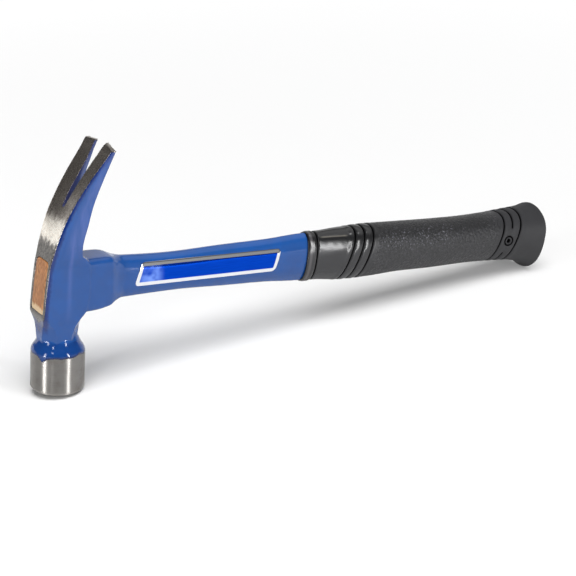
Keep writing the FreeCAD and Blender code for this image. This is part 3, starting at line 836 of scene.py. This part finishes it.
class Finish(Graph):
    """A material, with places in the forging's axes in millimetres."""

    def __init__(self, name):
        self.material = bpy.data.materials.new(name)
        self.material.use_nodes = True
        super().__init__(self.material.node_tree)
        self.surface = self.tree.nodes["Principled BSDF"]
        to_forging = self.add("ShaderNodeMapping", vector_type="TEXTURE")
        self.feed(to_forging.inputs["Vector"], self.add("ShaderNodeTexCoord").outputs["Object"])
        self.feed(to_forging.inputs["Location"], SHIFT)
        self.feed(to_forging.inputs["Rotation"], (0, TILT, 0))
        self.feed(to_forging.inputs["Scale"], (MM, MM, MM))
        self.place = to_forging.outputs["Vector"]
        self.along, self.up = (self.axis(name, self.place) for name in "XZ")

    def set(self, **sockets):
        for name, value in sockets.items():
            self.feed(self.surface.inputs[name.replace("_", " ")], value)

    def leaned(self, degrees):
        """Place along the hammer, counted along lines that lean."""
        return self.maths("SUBTRACT", self.along, self.times(self.up, tangent(degrees)))

    def scaled(self, *scale):
        node = self.add("ShaderNodeMapping")
        self.feed(node.inputs["Vector"], self.place)
        self.feed(node.inputs["Scale"], scale)
        return node.outputs["Vector"]

    def noise(self, scale, place=None, detail=4.0, rough=0.55, shift=0.0):
        """Noise from 0 to 1 whose lumps are about 1 / scale millimetres wide."""
        node = self.add("ShaderNodeTexNoise", noise_dimensions="4D")
        self.feed(node.inputs["Vector"], place or self.place)
        for name, value in (("W", shift), ("Scale", scale), ("Detail", detail), ("Roughness", rough)):
            self.feed(node.inputs[name], value)
        return node.outputs["Fac"]

    def cells(self, scale, shift=0.0):
        """Distance from the middle of cells about 1 / scale millimetres wide."""
        node = self.add("ShaderNodeTexVoronoi", voronoi_dimensions="4D")
        self.feed(node.inputs["Vector"], self.place)
        self.feed(node.inputs["W"], shift)
        self.feed(node.inputs["Scale"], scale)
        return node.outputs["Distance"]

    def kept(self, name):
        """The number that the mesh keeps under a name."""
        return self.add("ShaderNodeAttribute", attribute_name=name).outputs["Fac"]

    def blend(self, share, first, second):
        node = self.add("ShaderNodeMix", data_type="RGBA")
        self.feed(node.inputs[0], share)
        self.feed(node.inputs[6], first)
        self.feed(node.inputs[7], second)
        return node.outputs[2]

    def bump(self, height, strength, distance, under=None):
        """Height from 0 to 1 over a distance in millimetres."""
        node = self.add("ShaderNodeBump")
        self.feed(node.inputs["Height"], height)
        self.feed(node.inputs["Strength"], strength)
        self.feed(node.inputs["Distance"], distance * MM)
        if under:
            self.feed(node.inputs["Normal"], under)
        return node.outputs["Normal"]


# Enamel and steel

ENAMEL = paint(29, 75, 141)
ENAMEL_CLEAR = paint(26, 78, 149)
ENAMEL_SHADE_NEAR_STEEL = paint(6, 38, 104)
ENAMEL_SHOULDER_SHADE = paint(14, 58, 122)
ENAMEL_RIM_SHADE = paint(6, 26, 76)
ENAMEL_PAINTED_SHEEN = paint(92, 112, 178)
SLOT_SHADE = paint(54, 56, 90)
STEEL_DARK = (paint(74, 72, 70), paint(114, 110, 106))
STEEL_BRIGHT = (paint(216, 208, 196), paint(242, 236, 226))
STEEL_UPPER = (paint(150, 142, 135), paint(190, 181, 172))
STEEL_WORN = paint(216, 211, 203)
STEEL_TURNED = (paint(150, 147, 144), paint(176, 173, 169))
STEEL_STAINED = paint(142, 137, 131)
# distances from the ground steel's edge over which painted shade makes the enamel deeper, then darker, then
# it is bare
SHADE_NEAR_STEEL = (-5.0, 2.5)
RIM_SHADE = (-1.6, -0.3)
EDGE = (-0.06, 0.06)
# heights over which painted shade deepens the shoulder, the bright steel starts and ends, and the tips are
# worn
SHOULDER_SHADE = (-29.0, -32.0)
BRIGHT_START = (29.5, 34.5)
BRIGHT_END = (42.3, 46.3)
WORN = (78.6, 79.3)
# how far the ends of the bright steel are ragged
RAGGED = 12.0


def enamel_tone(f, edge):
    """Blue enamel: a little uneven, with painted shade deeper on the shoulder and along the ground steel,
    darkest in a thin line at its edge.
    """
    tone = f.blend(f.band(f.noise(0.12, detail=3.0), 0.35, 0.7), ENAMEL, ENAMEL_CLEAR)
    near = f.plus(edge, f.noise(0.25, shift=7.0), 6.0)
    near = f.plus(near, f.noise(0.8, detail=3.0, shift=11.0), 5.0)
    tone = f.blend(f.times(f.band(near, *SHADE_NEAR_STEEL), 0.95), tone, ENAMEL_SHADE_NEAR_STEEL)
    tone = f.blend(f.band(f.up, *SHOULDER_SHADE), tone, ENAMEL_SHOULDER_SHADE)
    return f.blend(f.band(edge, *RIM_SHADE), tone, ENAMEL_RIM_SHADE)


def enamel_waves(f):
    return f.bump(f.noise(0.14, detail=1.0, shift=1.0), 0.14, 0.5)


def ground_steel(f, lines, mottle, worn):
    """Ground steel: dark below, bright in a ragged band, streaked up the claws and worn at the tips."""
    ragged = f.noise(0.4, f.scaled(1.0, 1.0, 0.6), detail=5.0, rough=0.6, shift=2.0)
    ragged = f.plus(f.up, ragged, RAGGED)
    lower = f.blend(f.band(mottle, 0.34, 0.66), *STEEL_DARK)
    bright = f.blend(f.band(mottle, 0.38, 0.6), *STEEL_BRIGHT)
    steel = f.blend(f.band(ragged, *BRIGHT_START), lower, bright)
    steel = f.blend(f.band(ragged, *BRIGHT_END), steel, f.blend(lines, *STEEL_UPPER))
    return f.blend(f.times(worn, 0.8), steel, STEEL_WORN)


def head_finish():
    """Blue enamel over the forging, with the ground front of head and claw left bare."""
    f = Finish("enamel_and_ground_steel")
    edge = f.plus(f.span(f.noise(0.9, shift=3.0), 0, 1, -0.3, 0.3), f.kept("ground"))
    bare = f.band(edge, *EDGE)
    streaks = f.noise(1.0, f.scaled(0.35, 0.35, 0.05), detail=3.0, shift=9.0)
    # painted sheen, in streaks, lightens the enamel on the sides
    painted_sheen = f.times(f.kept("painted_sheen"), f.span(streaks, 0.3, 0.7, 0.35, 1.0))
    enamel = f.blend(f.times(painted_sheen, 0.55), enamel_tone(f, edge), ENAMEL_PAINTED_SHEEN)
    # painted shade darkens the enamel in the slot
    enamel = f.blend(f.times(f.kept("slot"), 0.85), enamel, SLOT_SHADE)
    lines = f.noise(1.0, f.scaled(3.0, 5.0, 0.3), detail=5.0, rough=0.65)
    mottle = f.noise(0.7, detail=6.0, rough=0.6, shift=8.0)
    worn = f.band(f.plus(f.up, mottle, 1.2), *WORN)
    steel = ground_steel(f, lines, mottle, worn)
    rough = f.lerp(worn, f.span(mottle, 0.2, 0.8, 0.2, 0.34), 0.5)
    dull = f.lerp(f.band(f.kept("slot"), 0.05, 0.2), 0.09, 0.45)
    f.set(Base_Color=f.blend(bare, enamel, steel), Metallic=bare, Roughness=f.lerp(bare, dull, rough))
    grain = f.bump(f.times(lines, bare), 0.4, 0.06, enamel_waves(f))
    f.set(Normal=f.bump(f.band(edge, -0.4, 0.12), 0.25, -0.06, grain))
    return f.material


def bell_finish():
    """Enamel that ends in a wavy line, and turned steel below it that shines along the bell's axis."""
    f = Finish("enamel_and_turned_steel")
    edge = f.plus(f.span(f.noise(0.3, detail=2.0, shift=3.0), 0, 1, -0.25, 0.25), f.kept("ground"))
    bare = f.band(edge, *EDGE)
    rings = f.noise(1.0, f.scaled(0.12, 0.12, 5.0), detail=4.0, rough=0.6)
    patches = f.noise(0.12, detail=3.0, shift=4.0)
    steel = f.blend(f.band(patches, 0.45, 0.75), f.blend(rings, *STEEL_TURNED), STEEL_STAINED)
    f.set(Base_Color=f.blend(bare, enamel_tone(f, edge), steel), Metallic=bare)
    f.set(Roughness=f.lerp(bare, 0.1, 0.42), Anisotropic=1.0)
    f.set(Tangent=f.add("ShaderNodeTangent", direction_type="UV_MAP", uv_map="turned").outputs[0])
    f.set(Normal=f.bump(f.band(edge, -0.5, 0.12), 0.9, -0.2, enamel_waves(f)))
    return f.material


# Wood

WOOD = (paint(112, 64, 30), paint(206, 146, 92))
WOOD_RINGS = paint(150, 92, 50)
WOOD_PALE = paint(210, 182, 144)
# heights over which the plug's foot turns pale
WOOD_PALE_FOOT = (-6.5, -8.0)


def wood_finish():
    """Wood with its grain up and down, pale at the foot."""
    f = Finish("plug_wood")
    fibre = f.noise(1.1, f.scaled(2.2, 2.2, 0.16), detail=6.0, rough=0.7)
    rings = f.noise(0.35, f.scaled(1.0, 1.6, 0.05), detail=2.0, shift=4.0)
    tone = f.blend(f.band(fibre, 0.36, 0.64), *WOOD)
    tone = f.blend(f.times(f.band(rings, 0.45, 0.6), 0.6), tone, WOOD_RINGS)
    foot = f.plus(f.up, f.noise(0.8, f.scaled(1.0, 1.0, 0.3), shift=6.0), 6.0)
    tone = f.blend(f.band(foot, *WOOD_PALE_FOOT), tone, WOOD_PALE)
    f.set(Base_Color=tone, Roughness=0.55, Normal=f.bump(fibre, 0.5, 0.15))
    return f.material


# Rubber

RUBBER = (paint(33, 33, 35), paint(46, 46, 49))
RUBBER_UPPER_SHADE = paint(24, 24, 25)
RUBBER_HIGHLIGHT_LINE = paint(112, 108, 100)
RUBBER_BEAD_HIGHLIGHT = paint(100, 97, 100)
RUBBER_LIP_SHADE = paint(5, 5, 6)
RUBBER_GLINT = paint(132, 132, 142)
RUBBER_PITS = paint(26, 26, 28)
RUBBER_GROOVE_SHADE = paint(4, 4, 5)
# places along the slanted grooves: the pebbled palm, the end of the polish, the start of the matt butt
PEBBLED = (202.0, 295.5)
POLISH_END = (196.0, 202.0)
MATT_START = (294.0, 300.0)
# painted shade on the upper side: heights over which it starts and places where it ends
UPPER_SHADE_START = (5.5, 10.5)
UPPER_SHADE_END = (300.0, 285.0)
# a painted highlight line along the polished front: heights and places
HIGHLIGHT_LINE_RISE = (12.0, 12.6)
HIGHLIGHT_LINE_PLACE = (166.0, 183.0)
# places along the lip's lean: the bead's painted highlight and the lip's painted shade
BEAD_HIGHLIGHT = (157.2, 158.8)
LIP_SHADE = (156.7, 156.1)
# where the palm glints: heights and places
GLINT_RISE = (1.0, 12.0)
GLINT_PLACE = (200.0, 262.0)


def rubber_tone(f, pebbled, pebble, fine):
    """Black, with painted shade above and at the lip, painted highlights on the bead and in a line, and a
    glinting palm.
    """
    tone = f.blend(f.noise(0.08, detail=3.0, shift=2.0), *RUBBER)
    upper = f.times(f.band(f.up, *UPPER_SHADE_START), f.band(f.along, *UPPER_SHADE_END))
    tone = f.blend(f.times(upper, 0.8), tone, RUBBER_UPPER_SHADE)
    highlight_line = f.times(f.window(f.up, *HIGHLIGHT_LINE_RISE, 0.3), f.window(f.along, *HIGHLIGHT_LINE_PLACE, 1.5))
    tone = f.blend(f.times(highlight_line, 0.6), tone, RUBBER_HIGHLIGHT_LINE)
    lip = f.leaned(LIP_LEAN)
    tone = f.blend(f.times(f.window(lip, *BEAD_HIGHLIGHT, 0.6), 0.45), tone, RUBBER_BEAD_HIGHLIGHT)
    tone = f.blend(f.band(lip, *LIP_SHADE), tone, RUBBER_LIP_SHADE)
    palm = f.times(f.window(f.up, *GLINT_RISE, 2.5), f.window(f.along, *GLINT_PLACE, 14.0))
    glint = f.times(f.times(f.band(fine, 0.57, 0.66), pebbled), f.lerp(palm, 0.1, 0.65))
    tone = f.blend(glint, tone, RUBBER_GLINT)
    return f.blend(f.times(f.band(pebble, 0.5, 0.9), f.times(pebbled, 0.5)), tone, RUBBER_PITS)


def rubber_finish():
    """Black rubber: polished from lip to front grooves, pebbled along the palm, matt at the butt."""
    f = Finish("grip_rubber")
    slanted = f.leaned(SLANT)
    pebbled = f.window(slanted, *PEBBLED, 2.0)
    polished = f.other(f.band(slanted, *POLISH_END))
    pebble = f.cells(0.62, shift=1.0)
    fine = f.noise(0.95, detail=3.0)
    rough = f.lerp(polished, f.span(fine, 0, 1, 0.34, 0.5), 0.2)
    rough = f.lerp(pebbled, rough, f.span(pebble, 0.1, 0.6, 0.24, 0.46))
    rough = f.lerp(f.band(slanted, *MATT_START), rough, 0.62)
    carved = f.band(f.kept("carved"), 0.1, 0.6)
    # painted shade turns the grooves, the vent's ring and its hole black
    f.set(Base_Color=f.blend(carved, rubber_tone(f, pebbled, pebble, fine), RUBBER_GROOVE_SHADE))
    f.set(Roughness=f.lerp(carved, rough, 0.7))
    f.set(Specular_IOR_Level=f.lerp(carved, f.lerp(polished, 0.5, 0.62), 0.05))
    swell = f.bump(f.noise(0.12, detail=1.0, shift=5.0), 0.35, 0.8)
    f.set(Normal=f.bump(f.times(f.maths("ADD", pebble, fine), pebbled), 1.0, 0.5, swell))
    return f.material


# Foil

SILVER = (paint(226, 228, 232), paint(246, 247, 250))
FOIL_BLUE = (paint(4, 60, 176), paint(8, 72, 204))
FOIL_GLARE = paint(128, 166, 255)
# half the width over which border turns into panel, and the places of the panel's painted glare patch
PANEL_EDGE = 0.12
GLARE_PLACE = (47.0, 58.0)


def foil_finish():
    """Silvered foil: a bright border round a plain metallic blue panel with a painted glare patch."""
    f = Finish("label_foil")
    panel = f.band(f.kept("inset"), LABEL_BORDER - PANEL_EDGE, LABEL_BORDER + PANEL_EDGE)
    brushed = f.noise(1.0, f.scaled(0.1, 4.0, 7.0), detail=4.0)
    blue = f.blend(f.band(brushed, 0.25, 0.75), *FOIL_BLUE)
    glare = f.band(f.noise(0.12, detail=2.0, shift=3.0), 0.3, 0.6)
    blue = f.blend(f.times(f.window(f.along, *GLARE_PLACE, 4.0), glare), blue, FOIL_GLARE)
    f.set(Base_Color=f.blend(panel, f.blend(brushed, *SILVER), blue), Metallic=1.0)
    f.set(Roughness=f.lerp(panel, 0.08, 0.09), Normal=f.bump(panel, 0.1, 0.03))
    return f.material


# Floor, backdrop and light

# half the floor's width, in metres
FLOOR_REACH = 12.0
# its change from head to butt, in metres along the hammer, and its paint and glow at those ends
FLOOR_TURN = (-0.16, 0.14)
FLOOR_WHITE = (0.81, 0.64)
# the stronger glow towards the butt is painted light that lightens the hammer's shadow there
FLOOR_LIFT = (0.01, 0.20)
# distances in metres over which it glows more, and how much
FLOOR_FAR = (0.3, 2.2)
FLOOR_FAR_LIFT = 0.20
# strength of the world in soft light, and in reflections away from the patches
AMBIENT = 0.10
DARK_STUDIO = 0.12
# patches of light in reflections: from, to and softness round the hammer, the same above the floor
# in degrees, and strength
PATCHES = [
    ((5, 86, 8), (-5, 24, 4), 0.6),
    ((104, 145, 8), (-5, 8.5, 1.2), 1.3),
    ((-62, -50, 3), (2, 24, 4), 0.18),
    ((-40, 78, 10), (38, 64, 6), 0.7),
]


def make_floor():
    corners = [(-FLOOR_REACH, -FLOOR_REACH, 0), (FLOOR_REACH, -FLOOR_REACH, 0),
               (FLOOR_REACH, FLOOR_REACH, 0), (-FLOOR_REACH, FLOOR_REACH, 0)]
    mesh = bpy.data.meshes.new("floor")
    mesh.from_pydata(corners, [], [(0, 1, 2, 3)])
    material = bpy.data.materials.new("pale_floor")
    material.use_nodes = True
    graph = Graph(material.node_tree)
    graph.tree.nodes.clear()
    matt = graph.add("ShaderNodeBsdfDiffuse")
    spot = graph.add("ShaderNodeTexCoord").outputs["Object"]
    towards_butt = graph.band(graph.axis("X", spot), *FLOOR_TURN)
    graph.feed(matt.inputs["Color"], graph.lerp(towards_butt, *FLOOR_WHITE))
    away = graph.maths("POWER", graph.axis("X", spot), 2.0)
    away = graph.maths("ADD", away, graph.maths("POWER", graph.axis("Y", spot), 2.0))
    far = graph.band(graph.maths("SQRT", away), *FLOOR_FAR)
    lift = graph.plus(graph.lerp(towards_butt, *FLOOR_LIFT), far, FLOOR_FAR_LIFT)
    seen = graph.add("ShaderNodeLightPath")
    seen = graph.maths("MAXIMUM", seen.outputs["Is Camera Ray"], seen.outputs["Is Glossy Ray"])
    glow = graph.add("ShaderNodeEmission")
    graph.feed(glow.inputs["Strength"], graph.times(seen, lift))
    both = graph.add("ShaderNodeAddShader")
    graph.feed(both.inputs[0], matt.outputs[0])
    graph.feed(both.inputs[1], glow.outputs[0])
    graph.feed(graph.add("ShaderNodeOutputMaterial").inputs[0], both.outputs[0])
    mesh.materials.append(material)
    floor = linked("floor", mesh)


def make_world():
    """White behind the hammer; in reflections a dark studio with patches of light."""
    world = bpy.data.worlds.new("studio")
    bpy.context.scene.world = world
    world.use_nodes = True
    graph = Graph(world.node_tree)
    graph.tree.nodes.clear()
    way = graph.add("ShaderNodeTexCoord").outputs["Generated"]
    turn = graph.maths("DEGREES", graph.maths("ARCTAN2", graph.axis("Y", way), graph.axis("X", way)))
    rise = graph.maths("DEGREES", graph.maths("ARCSINE", graph.axis("Z", way)))
    mirrored = DARK_STUDIO
    for turns, rises, strength in PATCHES:
        patch = graph.times(graph.window(turn, *turns), graph.window(rise, *rises))
        mirrored = graph.plus(mirrored, patch, strength)
    seen = graph.add("ShaderNodeLightPath")
    level = graph.lerp(seen.outputs["Is Glossy Ray"], AMBIENT, mirrored)
    shown = graph.maths("MAXIMUM", seen.outputs["Is Camera Ray"], seen.outputs["Is Transmission Ray"])
    back = graph.add("ShaderNodeBackground")
    graph.feed(back.inputs["Color"], (1, 1, 1, 1))
    graph.feed(back.inputs["Strength"], graph.lerp(shown, level, 1.0))
    graph.feed(graph.add("ShaderNodeOutputWorld").inputs[0], back.outputs[0])


MIDDLE = Vector((0.0, 0.0, 0.0))
BELL = Vector((-0.162, 0.0, 0.03))
LAMP_DISTANCE = 2.0
BELL_LAMP_DISTANCE = 0.6
# name, spot it hangs round, direction round and above that in degrees, distance, width and height
# in metres, watts
LAMPS = [
    ("front_right", MIDDLE, -70.5, 14, LAMP_DISTANCE, 0.18, 1.10, 12.5),
    ("front_right_small", MIDDLE, -38, 62, LAMP_DISTANCE, 0.20, 0.20, 1.6),
    ("front_left", MIDDLE, -168, 16, LAMP_DISTANCE, 0.30, 1.10, 10.0),
    ("front_left_small", MIDDLE, -140, 40, LAMP_DISTANCE, 0.20, 0.20, 1.6),
    ("bell_right", BELL, -67, 1.5, BELL_LAMP_DISTANCE, 0.084, 0.042, 0.55),
    ("bell_left", BELL, -168, 1.5, BELL_LAMP_DISTANCE, 0.102, 0.042, 0.75),
]
# the soft light from above: strength, and its width and direction in degrees
SKYLIGHT = 3.2
SKYLIGHT_WIDTH = 48
SKYLIGHT_TURN = -95
SKYLIGHT_RISE = 72


def hung(lamp, middle, turn, rise, distance):
    """Puts a lamp in a direction from a spot, facing it."""
    turn, rise = math.radians(turn), math.radians(rise)
    flat = math.cos(rise)
    way = Vector((flat * math.cos(turn), flat * math.sin(turn), math.sin(rise)))
    lamp.location = middle + way * distance
    lamp.rotation_euler = (-way).to_track_quat("-Z", "Y").to_euler()


def make_lamps():
    for name, middle, turn, rise, distance, width, height, power in LAMPS:
        data = bpy.data.lights.new(name, "AREA")
        data.shape = "RECTANGLE"
        data.size = width
        data.size_y = height
        data.energy = power
        lamp = linked(name, data)
        lamp.visible_camera = False
        lamp.visible_diffuse = middle is MIDDLE
        hung(lamp, middle, turn, rise, distance)
    data = bpy.data.lights.new("skylight", "SUN")
    data.energy = SKYLIGHT
    data.angle = math.radians(SKYLIGHT_WIDTH)
    skylight = linked("skylight", data)
    skylight.visible_glossy = False
    hung(skylight, MIDDLE, SKYLIGHT_TURN, SKYLIGHT_RISE, LAMP_DISTANCE)


make_camera()
make_forging(head_finish(), bell_finish())
make_plug(wood_finish())
make_grip(rubber_finish())
foil = foil_finish()
make_label("label_near", -1, foil)
make_label("label_far", 1, foil)
make_floor()
make_world()
make_lamps()
bpy.context.scene.view_settings.view_transform = "Standard"
